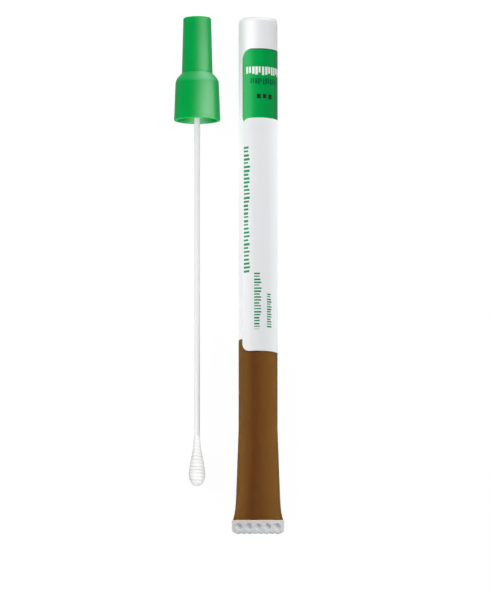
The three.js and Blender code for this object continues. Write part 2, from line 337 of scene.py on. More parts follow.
def wetted_wall():
    """The wall where the gel wets it: nearly clear, and mostly without gloss of its own."""
    made, tree, shader = material(
        "tube_wetted_wall", base_color=WETTED_TINT, roughness=WETTED_ROUGHNESS,
        transmission_weight=1.0, ior=WETTED_IOR, specular_tint=(0.1, 0.1, 0.1, 1))
    haze = grain(tree, shader, HAZE_SIZE, HAZE_HEIGHT, HAZE_DRAWN_OUT)
    tree.links.new(between(tree, haze, *WETTED_HAZE), shader.inputs["Roughness"])
    no_gloss = node(tree, "BsdfRefraction", [WETTED_TINT, WETTED_ROUGHNESS, WETTED_IOR])
    calm = node(tree, "MixShader", [WETTED_CALM, shader.outputs[0], no_gloss.outputs[0]])
    open_to_lamps(made, 1.0, surface=calm.outputs[0])
    return made


def frosted_seal():
    """Plastic melted and frosted by the jaws, with a line of gel stain along its root."""
    made, tree, shader = material("tube_seal", base_color=SEAL_CLEAN, roughness=0.3,
                                  subsurface_weight=0.1, ior=1.49)
    shader.inputs["Subsurface Radius"].default_value = (1.0, 1.0, 1.0)
    shader.inputs["Subsurface Scale"].default_value = 0.3 * MM
    frost = grain(tree, shader, FROST_SIZE, FROST_HEIGHT)
    tree.links.new(between(tree, frost, *FROST_ROUGHNESS), shader.inputs["Roughness"])
    stained = blend(tree, mark(tree, "stain"), SEAL_CLEAN, SEAL_STAINED)
    tree.links.new(stained, shader.inputs["Base Color"])
    return made


def polished_lip():
    """The reamed lip band, smoother than the wall below it, with a painted highlight right of its top."""
    made, tree, shader = material("tube_polished_lip", base_color=(0.87, 0.875, 0.885, 1), roughness=0.16,
                                  transmission_weight=0.1, ior=1.5, specular_ior_level=0.15)
    haze = grain(tree, shader, POLISH_SIZE, POLISH_HEIGHT, POLISH_DRAWN_OUT)
    tree.links.new(between(tree, haze, *LIP_ROUGHNESS), shader.inputs["Roughness"])
    # Painted highlight: the lip is painted white right of its top.
    lip_painted_highlight = blend(tree, mark(tree, "whiteness"), LIP_GREY, LIP_HIGHLIGHT_WHITE)
    tree.links.new(lip_painted_highlight, shader.inputs["Base Color"])
    open_to_lamps(made, WALL_LETS_THROUGH)
    return made


def fused(wall, plate):
    """The tube's wall and the sealed plate as one closed mesh."""
    parts = []
    for label, mesh in (("wall", wall), ("plate", plate)):
        data = bpy.data.meshes.new(label)
        mesh.to_mesh(data)
        mesh.free()
        parts.append(bpy.data.objects.new(label, data))
        bpy.context.collection.objects.link(parts[-1])
    union = parts[0].modifiers.new("union", "BOOLEAN")
    union.operation, union.solver, union.object = "UNION", "EXACT", parts[1]
    shaped = parts[0].evaluated_get(bpy.context.evaluated_depsgraph_get())
    mesh = bmesh.new()
    mesh.from_mesh(shaped.to_mesh())
    for part in parts:
        data = part.data
        bpy.data.objects.remove(part)
        bpy.data.meshes.remove(data)
    return mesh


WALL_WHITEST, WALL_SPREAD = radians(-24), radians(22)
LIP_WHITEST, LIP_SPREAD = radians(22), radians(30)
LOWER_WALL_WHITENESS, LOWER_WALL_FROM, LOWER_WALL_FULL = 0.8, 12 * MM, 28 * MM
STAIN_FULL, STAIN_END = 0.2 * MM, 0.5 * MM


def whiteness(co):
    """How white the wall is: a painted highlight a little left of its top, and whiter further down, from
    12 mm below the mouth. On the reamed lip it is a painted highlight right of its top."""
    if -co.y < LIP_BAND:
        # Painted highlight right of the lip's top.
        return exp(-((atan2(co.x, co.z) - LIP_WHITEST) / LIP_SPREAD) ** 2)
    # Painted highlight a little left of the wall's top.
    painted_highlight = exp(-((atan2(co.x, co.z) - WALL_WHITEST) / WALL_SPREAD) ** 2)
    return max(painted_highlight, LOWER_WALL_WHITENESS * smoothstep(-co.y, LOWER_WALL_FROM, LOWER_WALL_FULL))


def stain(co):
    """1 in the line of gel squeezed out along the seal's root."""
    return 1 - smoothstep(-co.y, SEAL_START + STAIN_FULL, SEAL_START + STAIN_END)


tube_shape = fused(tube_mesh(), plate_mesh())
# The whiteness mark holds the painted highlights on the wall and the lip.
marked(tube_shape, "whiteness", whiteness)
marked(tube_shape, "stain", stain)
for face in tube_shape.faces:
    depth = -face.calc_center_median().y
    face.material_index = bisect([LIP_BAND, MEDIUM_TOP, SEAL_START], depth)
tube_finishes = [polished_lip(), bare_wall(), wetted_wall(), frosted_seal()]
piece("tube_body", tube_shape, Matrix.Translation(MOUTH), tube_finishes, "tube")

# ---------------------------------------------------------------------------------------------
# Medium. A brown nutrient gel, poured in above the seal and set with a slight meniscus. It wets the
# wall, so it fills the bore, and its surface is a hair into the wall so that no air shows between.

GEL_INTO_WALL, GEL_INTO_FLAT, GEL_OFF_SEAL = 0.03 * MM, 0.4 * MM, 0.1 * MM
MENISCUS, MENISCUS_EDGE, MENISCUS_POWER, MENISCUS_STEPS = 0.5 * MM, 0.97, 6, 12
GEL_DARKEST = -0.26
GEL_EDGE_SHADE_START, GEL_EDGE_SHADE_FULL = 0.93, 0.99
GEL_CLOUD_SIZE, GEL_CLOUD_HEIGHT, GEL_CLOUD_DRAWN_OUT = 1.6 * MM, 0.01 * MM, (1, 4, 1)
GEL_PAINTED_SHADE = (0.100, 0.0355, 0.0085, 1), (0.110, 0.040, 0.0105, 1)
GEL_PAINTED_LIGHT = (0.174, 0.081, 0.018, 1), (0.190, 0.089, 0.022, 1)
GEL_EDGE_SHADE = (0.132, 0.070, 0.018, 1)


def side_share(co):
    """-1 at the gel's left side to 1 at its right."""
    return co.x / (half_width(-co.y) - TUBE_WALL)


def painted_light_share(co):
    """Painted light and shade: 0 down a painted dark line a little left of the gel's middle, to 1 at its
    sides, painted paler.
    """
    away = side_share(co) - GEL_DARKEST
    return clamp(away / (1 - GEL_DARKEST) if away > 0 else -away / (1 + GEL_DARKEST))


def gel_edge_shade(co):
    """1 in the narrow line at each side, where the gel is painted darker as shade along its edges."""
    return smoothstep(abs(side_share(co)), GEL_EDGE_SHADE_START, GEL_EDGE_SHADE_FULL)


def medium_mesh():
    radius = TUBE_RADIUS - TUBE_WALL + GEL_INTO_WALL
    end = SEAL_START - GEL_OFF_SEAL
    profile = [(0, -end, 0)]
    for depth in evenly(end, FLARE_START, FLARE_STEPS):
        profile.append((radius + GEL_INTO_FLAT * flattened(depth) ** 2, -depth, 0))
    profile += [(radius, -MEDIUM_TOP, 0)]
    for share in evenly(MENISCUS_EDGE, 0, MENISCUS_STEPS):
        sunk = MENISCUS * (1 - share ** MENISCUS_POWER)
        profile += [(radius * share, -MEDIUM_TOP - sunk, 0)]
    mesh = turned(profile)
    pressed(mesh)
    # Painted light and shade across the gel, and painted shade along its edges.
    marked(mesh, "painted_light_share", painted_light_share)
    marked(mesh, "rim", gel_edge_shade)
    return mesh


def gel_material():
    made, tree, shader = material("brown_gel", roughness=0.4, subsurface_weight=0.5,
                                  specular_ior_level=0.0)
    shader.inputs["Subsurface Radius"].default_value = (1.0, 0.6, 0.3)
    shader.inputs["Subsurface Scale"].default_value = 1.5 * MM
    clouds = grain(tree, shader, GEL_CLOUD_SIZE, GEL_CLOUD_HEIGHT, GEL_CLOUD_DRAWN_OUT)
    cloud = between(tree, clouds, 0.0, 1.0)
    # The body colour paints shade down a line left of the middle and light towards the sides.
    painted_shade, thin = blend(tree, cloud, *GEL_PAINTED_SHADE), blend(tree, cloud, *GEL_PAINTED_LIGHT)
    body = blend(tree, mark(tree, "painted_light_share"), painted_shade, thin)
    # Painted shade along the gel's sides.
    edge_shaded = blend(tree, mark(tree, "rim"), body, GEL_EDGE_SHADE)
    tree.links.new(edge_shaded, shader.inputs["Base Color"])
    return made


piece("gel_medium", medium_mesh(), Matrix.Translation(MOUTH), [gel_material()], "medium")

# ---------------------------------------------------------------------------------------------
# Labels. Two sticky film labels, cut flat and wrapped round the tube from left of its top over its
# right side, so that a bare strip stays open below and on the left. The white one laps over the
# green one's lower edge. Their print is plain ticks and bars in white, black and two greens.

LABEL_THICKNESS = 0.07 * MM
LABEL_OFF_TUBE = 0.015 * MM
LABEL_END_ANGLE = radians(145)
CORNER_COLUMNS, WRAP_COLUMNS, LABEL_ROWS = 8, 96, 60
LAP_LENGTH = 1 * MM


def corner_cut(from_side, corner):
    """How far a rounded corner draws the label's end in, at a distance from its side."""
    left = max(corner - from_side, 0)
    return corner - sqrt(corner ** 2 - left ** 2)


def label_mesh(top, bottom, start_angle, corner, lap_end=None):
    """A label cut flat, marked with its own millimetres, wrapped, and given its thickness."""
    inner = TUBE_RADIUS + LABEL_OFF_TUBE
    width = inner * (LABEL_END_ANGLE - start_angle)
    at_corner = [corner * (1 - cos(t * pi / 2)) for t in evenly(0, 1, CORNER_COLUMNS)]
    columns = at_corner + evenly(corner, width - corner, WRAP_COLUMNS)[1:-1]
    columns += [width - across for across in reversed(at_corner)]
    mesh = bmesh.new()
    sheet = mesh.loops.layers.uv.new("sheet")
    bmesh.ops.create_grid(mesh, x_segments=len(columns) - 1, y_segments=LABEL_ROWS, size=1)
    for vert in mesh.verts:
        across = columns[round((vert.co.x + 1) / 2 * (len(columns) - 1))]
        cut = corner_cut(min(across, width - across), corner)
        vert.co = (across, mix(top + cut, bottom - cut, (1 - vert.co.y) / 2), 0)
    for face in mesh.faces:
        for loop in face.loops:
            loop[sheet].uv = (loop.vert.co.x / MM, (loop.vert.co.y - top) / MM)
    for vert in mesh.verts:
        across, depth = vert.co.x, vert.co.y
        lift = 0
        if lap_end:
            lapped = 1 - smoothstep(depth, lap_end, lap_end + LAP_LENGTH)
            lift = (LABEL_THICKNESS + LABEL_OFF_TUBE) * lapped
        angle, radius = start_angle + across / inner, inner + lift
        vert.co = (radius * sin(angle), -depth, radius * cos(angle))
    bmesh.ops.recalc_face_normals(mesh, faces=mesh.faces)
    outward = sum(face.normal.dot(face.calc_center_median() * Vector((1, 0, 1))) for face in mesh.faces)
    if outward < 0:
        bmesh.ops.reverse_faces(mesh, faces=mesh.faces)
    bmesh.ops.solidify(mesh, geom=mesh.faces[:], thickness=-LABEL_THICKNESS)
    bmesh.ops.recalc_face_normals(mesh, faces=mesh.faces)
    return mesh


def within(tree, value, low, high):
    """1 where a value lies between two others."""
    above = maths(tree, "GREATER_THAN", value, low)
    below = maths(tree, "LESS_THAN", value, high)
    return maths(tree, "MULTIPLY", above, below)


SHORTEST_TICK, SECOND_DRAW = 0.7, 7.31


def ticks(tree, along, across, start, end, low, high, pitch, weight, uneven):
    """A row of print: ticks of uneven width and height from start to end, standing on low."""
    cells = maths(tree, "DIVIDE", maths(tree, "SUBTRACT", along, start), pitch)
    number = maths(tree, "FLOOR", cells)
    chance = node(tree, "TexWhiteNoise", [None, number], noise_dimensions="1D").outputs["Value"]
    other = maths(tree, "FRACT", maths(tree, "MULTIPLY", chance, SECOND_DRAW))
    width = maths(tree, "MULTIPLY_ADD", chance, uneven, weight)
    on_tick = maths(tree, "LESS_THAN", maths(tree, "FRACT", cells), width)
    shortest = (high - low) * SHORTEST_TICK
    top = maths(tree, "MULTIPLY_ADD", other, high - low - shortest, low + shortest)
    tall = maths(tree, "MULTIPLY", maths(tree, "GREATER_THAN", across, low),
                 maths(tree, "LESS_THAN", across, top))
    row = maths(tree, "MULTIPLY", within(tree, along, start, end), on_tick)
    return maths(tree, "MULTIPLY", row, tall)


STREAK_SIZE, STREAK_HEIGHT, STREAK_DRAWN_OUT = 0.7 * MM, 0.02 * MM, (1, 60, 1)
FILM_ROUGHNESS = 0.34, 0.44


def label_material(name, film, low_film, prints):
    """Satin film of one colour with faint streaks and marks laid over it, each (mask function, ink): rows
    of print, and on the green film a painted shade and a darker edge line.
    """
    made, tree, shader = material(name, roughness=0.4, specular_ior_level=0.06, ior=1.5)
    sheet = node(tree, "UVMap", uv_map="sheet").outputs[0]
    split = node(tree, "SeparateXYZ", [sheet])
    across, depth = split.outputs[0], split.outputs[1]
    streaks = grain(tree, shader, STREAK_SIZE, STREAK_HEIGHT, STREAK_DRAWN_OUT, detail=4.0)
    color = blend(tree, between(tree, streaks, 0.0, 1.0), low_film, film)
    for mask, ink in prints:
        color = blend(tree, mask(tree, across, depth), color, ink)
    tree.links.new(color, shader.inputs["Base Color"])
    tree.links.new(between(tree, streaks, *FILM_ROUGHNESS), shader.inputs["Roughness"])
    return made


def across_row(start, end, low, high, pitch, weight=0.5, uneven=0.25):
    """A row that reads round the tube; low and high are depths on the label."""
    return lambda tree, across, depth: ticks(
        tree, across, depth, start, end, low, high, pitch, weight, uneven)


def down_row(start, end, low, high, pitch, weight=0.5, uneven=0.25):
    """A row that reads along the tube; low and high are distances across the label."""
    return lambda tree, across, depth: ticks(
        tree, depth, across, start, end, low, high, pitch, weight, uneven)


def edge_line(width, height, line):
    """A narrow darker line all round the film's edge; sizes in millimetres."""
    def mask(tree, across, depth):
        inside = maths(tree, "MULTIPLY", within(tree, across, line, width - line),
                       within(tree, depth, line, height - line))
        return maths(tree, "SUBTRACT", 1.0, inside)
    return mask


def painted_far_shade(start, full):
    """Painted shade: rises from 0 to 1 across the film, towards the side that turns away round the tube.
    """
    return lambda tree, across, depth: node(
        tree, "MapRange", [across, start, full, 0.0, 1.0]).outputs[0]


GREEN_FILM, GREEN_FILM_LOW = (0.0, 0.375, 0.076, 1), (0.0, 0.355, 0.07, 1)
GREEN_FILM_PAINTED_SHADE, GREEN_FILM_EDGE_LINE = (0.0, 0.2, 0.045, 1), (0.0, 0.13, 0.035, 1)
WHITE_FILM, WHITE_FILM_LOW = (0.86, 0.875, 0.885, 1), (0.83, 0.845, 0.855, 1)
WHITE_INK = (0.86, 0.9, 0.87, 1)
GREEN_INK = (0.005, 0.26, 0.1, 1)
DEEP_GREEN_INK = (0.0, 0.12, 0.04, 1)
BLACK_INK = (0.012, 0.03, 0.015, 1)
GREEN_START_ANGLE, GREEN_CORNER = radians(-51.5), 3.5 * MM
WHITE_START_ANGLE, WHITE_CORNER = radians(-52.5), 3.0 * MM

green_low, green_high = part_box("batch_label")
white_low, white_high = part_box("specimen_label")
GREEN_TOP, GREEN_END = MOUTH.y - green_high.y, MOUTH.y - green_low.y
WHITE_TOP, WHITE_END = MOUTH.y - white_high.y, MOUTH.y - white_low.y

# The rows are set out in millimetres from each label's left side and top.
GREEN_WIDTH = 21.3
green_film = label_material(
    "green_label_film", GREEN_FILM, GREEN_FILM_LOW,
    # Painted shade darkens the green film towards the side that turns away.
    [(painted_far_shade(start=10.6, full=13.0), GREEN_FILM_PAINTED_SHADE),
     (edge_line(GREEN_WIDTH, (GREEN_END - GREEN_TOP) / MM, line=0.3), GREEN_FILM_EDGE_LINE),
     (across_row(1.6, 15.6, 5.9, 8.7, pitch=1.05, weight=0.55), WHITE_INK),
     (across_row(3.1, 13.0, 9.7, 11.8, pitch=0.8), DEEP_GREEN_INK),
     (across_row(5.2, 10.7, 14.8, 16.7, pitch=1.9, weight=0.6, uneven=0.1), BLACK_INK)])
piece("green_label", label_mesh(GREEN_TOP, GREEN_END, GREEN_START_ANGLE, GREEN_CORNER),
      Matrix.Translation(MOUTH), [green_film], "batch_label")

white_film = label_material(
    "white_label_film", WHITE_FILM, WHITE_FILM_LOW,
    [(down_row(9.2, 50.1, 0.7, 3.1, pitch=1.25, weight=0.42), GREEN_INK),
     (down_row(50.2, 68.4, 4.45, 6.8, pitch=0.95, weight=0.35), GREEN_INK),
     (down_row(56.8, 67.8, 8.6, 10.4, pitch=0.8, weight=0.4), GREEN_INK)])
piece("white_label",
      label_mesh(WHITE_TOP, WHITE_END, WHITE_START_ANGLE, WHITE_CORNER, lap_end=GREEN_END),
      Matrix.Translation(MOUTH), [white_film], "specimen_label")

# ---------------------------------------------------------------------------------------------
# Cap. One green moulding: a tapered finger handle, closed at its end, a sloping shoulder and a
# skirt that slides over the tube. Inside are the plug ring and the socket that grips the shaft. It
# is modelled with its open rim at zero, and lies on that rim and on the bud, sloping down to the bud.

cap_low, cap_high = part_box("cap")
bud_low, bud_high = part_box("swab_bud")
RIM_RADIUS = (cap_high.x - cap_low.x) / 2
BUD_TURN_RADIUS = (bud_high.x - bud_low.x) / 2
REST_SPAN = 113.7 * MM
SLOPE = atan((RIM_RADIUS - BUD_TURN_RADIUS) / REST_SPAN)
RIM = Vector(((cap_low.x + cap_high.x) / 2, cap_low.y + RIM_RADIUS * sin(SLOPE), RIM_RADIUS * cos(SLOPE)))
SWAB_PLACE = Matrix.Translation(RIM) @ Matrix.Rotation(SLOPE, 4, "X")
CAP_LENGTH = 33.2 * MM
SKIRT_HEIGHT, SKIRT_BORE, SKIRT_TOP_RADIUS = 12.1 * MM, 6.4 * MM, 6.89 * MM
SHOULDER_START, SHOULDER_TOP, SHOULDER_ROUNDING = 13.1 * MM, 15.25 * MM, 1.1 * MM
HANDLE_BASE_RADIUS, HANDLE_TOP_RADIUS, HANDLE_WALL = 4.9 * MM, 4.45 * MM, 0.9 * MM
HOLLOW_TOP, SOCKET_FLOOR = 32.0 * MM, 0.3 * MM
PLUG_RADIUS, PLUG_WALL, PLUG_MOUTH, PLUG_LEAD_IN = 5.4 * MM, 0.8 * MM, 7.1 * MM, 0.3 * MM
SOCKET_RADIUS, SOCKET_MOUTH = 1.93 * MM, 11.3 * MM
SHAFT_RADIUS = 0.93 * MM
GATE_RADIUS, GATE_FLOOR_RADIUS, GATE_DEPTH, GATE_EDGE = 0.8 * MM, 0.7 * MM, 0.12 * MM, 0.05 * MM
EDGE, SOCKET_EDGE, CORNER, DEEP_CORNER, END_CORNER = 0.15 * MM, 0.2 * MM, 0.3 * MM, 0.4 * MM, 0.5 * MM
RIM_INNER_ROUNDING, RIM_OUTER_ROUNDING = 0.25 * MM, 0.28 * MM
NEAR = 0.05 * MM
BORE_SHEEN_ANGLE, BORE_SHEEN_SPREAD = radians(6), radians(24)
PALE_ANGLE, PALE_SPREAD = radians(24), radians(27)
PALE_LEAST, PALE_MORE = 0.06, 0.8
PALE_START, PALE_FULL = SHOULDER_START - 1.2 * MM, SHOULDER_START - 0.2 * MM
SHADE_START, SHADE_FULL, SHADE_INSIDE = radians(52), radians(80), 0.5


def cap_painted_sheen(co):
    """Painted sheen: paler green along the lowest line of the skirt's bore, and round the shoulder, most
    a little right of its top."""
    radius = hypot(co.x, co.z)
    if abs(radius - SKIRT_BORE) < NEAR and co.y < SKIRT_HEIGHT:
        # Painted sheen along the bore's lowest line.
        return exp(-((atan2(co.x, -co.z) - BORE_SHEEN_ANGLE) / BORE_SHEEN_SPREAD) ** 2)
    if radius > HANDLE_BASE_RADIUS - EDGE and co.y < SHOULDER_TOP + NEAR:
        # Painted sheen round the shoulder, strongest a little right of its top.
        share = PALE_LEAST + PALE_MORE * exp(-((atan2(co.x, co.z) - PALE_ANGLE) / PALE_SPREAD) ** 2)
        return share * smoothstep(co.y, PALE_START, PALE_FULL)
    return 0.0


def painted_lower_shade(co):
    """Painted shade: 0 over the top, 1 below and low on the sides, and half that inside."""
    inside = hypot(co.x, co.z) < SKIRT_BORE + NEAR and co.y < SKIRT_HEIGHT
    low = smoothstep(abs(atan2(co.x, co.z)), SHADE_START, SHADE_FULL)
    return SHADE_INSIDE * low if inside else low


def cap_mesh():
    """Turned from the socket's floor, round the plug ring and the rim, to the handle's end."""
    handle_bore_top = HANDLE_TOP_RADIUS - HANDLE_WALL
    profile = [
        (0, HOLLOW_TOP - SOCKET_FLOOR, 0),
        (SHAFT_RADIUS, HOLLOW_TOP - SOCKET_FLOOR, 0),
        (SHAFT_RADIUS, SOCKET_MOUTH, SOCKET_EDGE),
        (SOCKET_RADIUS, SOCKET_MOUTH, EDGE),
        (SOCKET_RADIUS, HOLLOW_TOP, DEEP_CORNER),
        (handle_bore_top, HOLLOW_TOP, END_CORNER),
        (HANDLE_BASE_RADIUS - HANDLE_WALL, SHOULDER_TOP, DEEP_CORNER),
        (PLUG_RADIUS - PLUG_WALL, SKIRT_HEIGHT, DEEP_CORNER),
        (PLUG_RADIUS - PLUG_WALL, PLUG_MOUTH, EDGE),
        (PLUG_RADIUS - PLUG_LEAD_IN, PLUG_MOUTH, EDGE),
        (PLUG_RADIUS, PLUG_MOUTH + 2 * PLUG_LEAD_IN, CORNER),
        (PLUG_RADIUS, SKIRT_HEIGHT, CORNER),
        (SKIRT_BORE, SKIRT_HEIGHT, CORNER),
        (SKIRT_BORE, 0, RIM_INNER_ROUNDING),
        (RIM_RADIUS, 0, RIM_OUTER_ROUNDING),
        (SKIRT_TOP_RADIUS, SHOULDER_START, SHOULDER_ROUNDING),
        (HANDLE_BASE_RADIUS, SHOULDER_TOP, EDGE),
        (HANDLE_TOP_RADIUS, CAP_LENGTH, END_CORNER),
        (GATE_RADIUS, CAP_LENGTH, GATE_EDGE),
        (GATE_FLOOR_RADIUS, CAP_LENGTH - GATE_DEPTH, GATE_EDGE),
        (0, CAP_LENGTH - GATE_DEPTH, 0),
    ]
    mesh = turned(profile)
    # Both marks are painted light: a sheen and a shade.
    marked(mesh, "painted_light_share", cap_painted_sheen)
    marked(mesh, "depth", painted_lower_shade)
    return mesh


CAP_SKIN_SIZE, CAP_SKIN_HEIGHT, CAP_SKIN_DRAWN_OUT = 0.22 * MM, 0.006 * MM, (1, 1.6, 1)
CAP_FLOW_SCALE, CAP_FLOW_DETAIL = 180.0, 2.0
CAP_GREENS = (0.0, 0.375, 0.073, 1), (0.0, 0.40, 0.081, 1)
CAP_PAINTED_SHADE_GREEN, CAP_PAINTED_SHEEN_GREEN = (0.0, 0.25, 0.062, 1), (0.25, 0.60, 0.36, 1)
CAP_ROUGHNESS = 0.34, 0.40
CAP_LETS_THROUGH, CAP_CLEAR_GREEN = 0.6, (0.25, 1.0, 0.45, 1)


def cap_material():
    made, tree, shader = material("cap_green_plastic", base_color=(0.0, 0.39, 0.077, 1), roughness=0.37,
                                  subsurface_weight=0.85, specular_ior_level=0.035, ior=1.5)
    shader.inputs["Subsurface Radius"].default_value = (0.1, 1.0, 0.3)
    shader.inputs["Subsurface Scale"].default_value = 2.6 * MM
    skin = grain(tree, shader, CAP_SKIN_SIZE, CAP_SKIN_HEIGHT, CAP_SKIN_DRAWN_OUT, detail=4.0)
    tree.links.new(between(tree, skin, *CAP_ROUGHNESS), shader.inputs["Roughness"])
    place = node(tree, "TexCoord").outputs["Object"]
    flow = node(tree, "TexNoise", [place, None, CAP_FLOW_SCALE, CAP_FLOW_DETAIL]).outputs[0]
    tint = blend(tree, between(tree, flow, 0.0, 1.0), *CAP_GREENS)
    # Painted shade: the green is painted darker low on the sides and below.
    painted_shade = blend(tree, mark(tree, "depth"), tint, CAP_PAINTED_SHADE_GREEN)
    # Painted sheen inside the bore and on the shoulder.
    painted_sheen = blend(tree, mark(tree, "painted_light_share"), painted_shade, CAP_PAINTED_SHEEN_GREEN)
    tree.links.new(painted_sheen, shader.inputs["Base Color"])
    open_to_lamps(made, CAP_LETS_THROUGH, CAP_CLEAR_GREEN)
    return made


piece("moulded_cap", cap_mesh(), SWAB_PLACE, [cap_material()], "cap", crease=40)

# ---------------------------------------------------------------------------------------------
# Shaft. A drawn rod of white polystyrene, pushed into the cap's socket and wound with fibre at its
# other end. Its surface shows faint lines from the drawing.

BUD_FROM_RIM, BUD_LENGTH, BUD_COVER = 101.3 * MM, 16.0 * MM, 3.5 * MM
SHAFT_BELOW_HOLLOW, SHAFT_ROUNDING = 0.6 * MM, 0.1 * MM
SHAFT_RINGS, SHAFT_STEPS = 40, 48
DRAWN_LINE, DRAWN_HEIGHT, DRAWN_OUT, DRAWN_ROUGHNESS = 0.12 * MM, 0.004 * MM, (1, 60, 1), (0.3, 0.42)


def shaft_mesh():
    top, tip = HOLLOW_TOP - SHAFT_BELOW_HOLLOW, -(BUD_FROM_RIM + BUD_LENGTH - BUD_COVER)
    profile = [(0, tip, 0), (SHAFT_RADIUS, tip, SHAFT_ROUNDING)]
    profile += [(SHAFT_RADIUS, height, 0) for height in evenly(tip, top, SHAFT_RINGS)[1:-1]]
    profile += [(SHAFT_RADIUS, top, SHAFT_ROUNDING), (0, top, 0)]
    return turned(profile, SHAFT_STEPS)


def shaft_material():
    made, tree, shader = material("shaft_white_plastic", base_color=(0.90, 0.90, 0.905, 1), roughness=0.4,
                                  subsurface_weight=0.3, ior=1.55)
    shader.inputs["Subsurface Radius"].default_value = (1.0, 1.0, 1.0)
    shader.inputs["Subsurface Scale"].default_value = 0.6 * MM
    lines = grain(tree, shader, DRAWN_LINE, DRAWN_HEIGHT, DRAWN_OUT)
    tree.links.new(between(tree, lines, *DRAWN_ROUGHNESS), shader.inputs["Roughness"])
    return made


piece("shaft_rod", shaft_mesh(), SWAB_PLACE, [shaft_material()], "swab_shaft")

# ---------------------------------------------------------------------------------------------
# Bud. Absorbent fibre wound on the shaft's end in about fifteen overlapping turns, thickest near
# the tip. The wound roving leaves a groove between turns, and finer strands lie on it.

BUD_RADIUS, BUD_NECK_RADIUS, FIBRE_THICKNESS = 2.62 * MM, 1.13 * MM, 0.03 * MM
BUD_NECK_LENGTH, BUD_SWELL_START, BUD_WIDEST = 3 * MM, 1.6 * MM, BUD_LENGTH - 3.6 * MM
BUD_RINGS, BUD_STEPS, TIP_CROWDING = 300, 220, 1.25
LEAST_RADIUS = 0.02 * MM
TURN_PITCH, GROOVE_DEPTH, GROOVE_POWER = 1.1 * MM, 0.16 * MM, 0.45
WANDER_LENGTH, WANDER = 3 * MM, 0.2
UNEVEN_LENGTH, UNEVEN_SHIFT, GROOVE_USUAL, GROOVE_UNEVEN = 2 * MM, 9, 0.75, 0.6
NECK_GROOVE, NECK_GROOVE_START, NECK_GROOVE_FULL = 0.35, 3 * MM, 7 * MM
FIBRE_PITCH, FIBRE_SPREAD, FIBRE_HEIGHT = 0.11 * MM, 1.6, 0.018 * MM
FIBRE_FADING, FIBRE_FINER, FIBRE_LAYERS = 0.9, 2.0, 3
LUMP_LENGTH, LUMP_SHIFT, LUMP_SPREAD, LUMP_HEIGHT = 1.6 * MM, 5, 1.3, 0.05 * MM
RELIEF_FULL_RADIUS = 1 * MM
STRAND_SIZE, STRAND_HEIGHT, STRAND_DRAWN_OUT = 0.05 * MM, 0.012 * MM, (14, 1, 14)
FIBRE_WHITES = (0.93, 0.93, 0.925, 1), (0.97, 0.97, 0.965, 1)
GROOVE_PAINTED_SHADE = (0.55, 0.55, 0.555, 1)


def bud_radius(along):
    """The wound fibre's radius at a distance from its neck, under its turns."""
    if along < BUD_WIDEST:
        start = SHAFT_RADIUS + FIBRE_THICKNESS
        neck = mix(start, BUD_NECK_RADIUS, smoothstep(along, 0, BUD_NECK_LENGTH))
        return mix(neck, BUD_RADIUS, smoothstep(along, BUD_SWELL_START, BUD_WIDEST))
    past = (along - BUD_WIDEST) / (BUD_LENGTH - BUD_WIDEST)
    return BUD_RADIUS * sqrt(max(1 - past * past, 0))


def groove(along, angle):
    """1 in the groove between two wound turns, 0 on a turn's crown; the turns wander a little."""
    wander = noise.noise(Vector((sin(angle), cos(angle), along / WANDER_LENGTH))) * WANDER
    wave = abs(sin(pi * (along / TURN_PITCH - angle / (2 * pi) + wander)))
    other = noise.noise(Vector((along / UNEVEN_LENGTH, cos(angle), sin(angle) + UNEVEN_SHIFT)))
    uneven = GROOVE_USUAL + GROOVE_UNEVEN * other
    at_neck = mix(NECK_GROOVE, 1, smoothstep(along, NECK_GROOVE_START, NECK_GROOVE_FULL))
    return (1 - wave ** GROOVE_POWER) * uneven * clamp((BUD_LENGTH - along) / TURN_PITCH) * at_neck


def fibre_height(along, angle):
    """Fine fibres that run round the bud, and a soft lumpiness under them."""
    round_bud = Vector((cos(angle), sin(angle), 0))
    fine = noise.fractal(round_bud * FIBRE_SPREAD + Vector((0, 0, along / FIBRE_PITCH)),
                         FIBRE_FADING, FIBRE_FINER, FIBRE_LAYERS)
    lumps = noise.noise(round_bud * LUMP_SPREAD + Vector((0, 0, along / LUMP_LENGTH + LUMP_SHIFT)))
    return FIBRE_HEIGHT * fine + LUMP_HEIGHT * lumps


def bud_mesh():
    """Turned in fine rings that crowd towards the tip, then raised into turns and fibres."""
    profile = [(0, -BUD_FROM_RIM, 0)]
    for i in range(BUD_RINGS):
        along = BUD_LENGTH * (1 - (1 - i / BUD_RINGS) ** TIP_CROWDING)
        profile.append((max(bud_radius(along), LEAST_RADIUS), -BUD_FROM_RIM - along, 0))
    profile.append((0, -BUD_FROM_RIM - BUD_LENGTH, 0))
    mesh = turned(profile, BUD_STEPS)
    marked(mesh, "groove", lambda co: groove(-co.y - BUD_FROM_RIM, atan2(co.x, co.z)))
    for vert in mesh.verts:
        radius, along = hypot(vert.co.x, vert.co.z), -vert.co.y - BUD_FROM_RIM
        if radius > LEAST_RADIUS / 2:
            angle = atan2(vert.co.x, vert.co.z)
            raised = fibre_height(along, angle) - GROOVE_DEPTH * groove(along, angle)
            grown = (radius + raised * min(1, radius / RELIEF_FULL_RADIUS)) / radius
            vert.co.x, vert.co.z = vert.co.x * grown, vert.co.z * grown
    return mesh


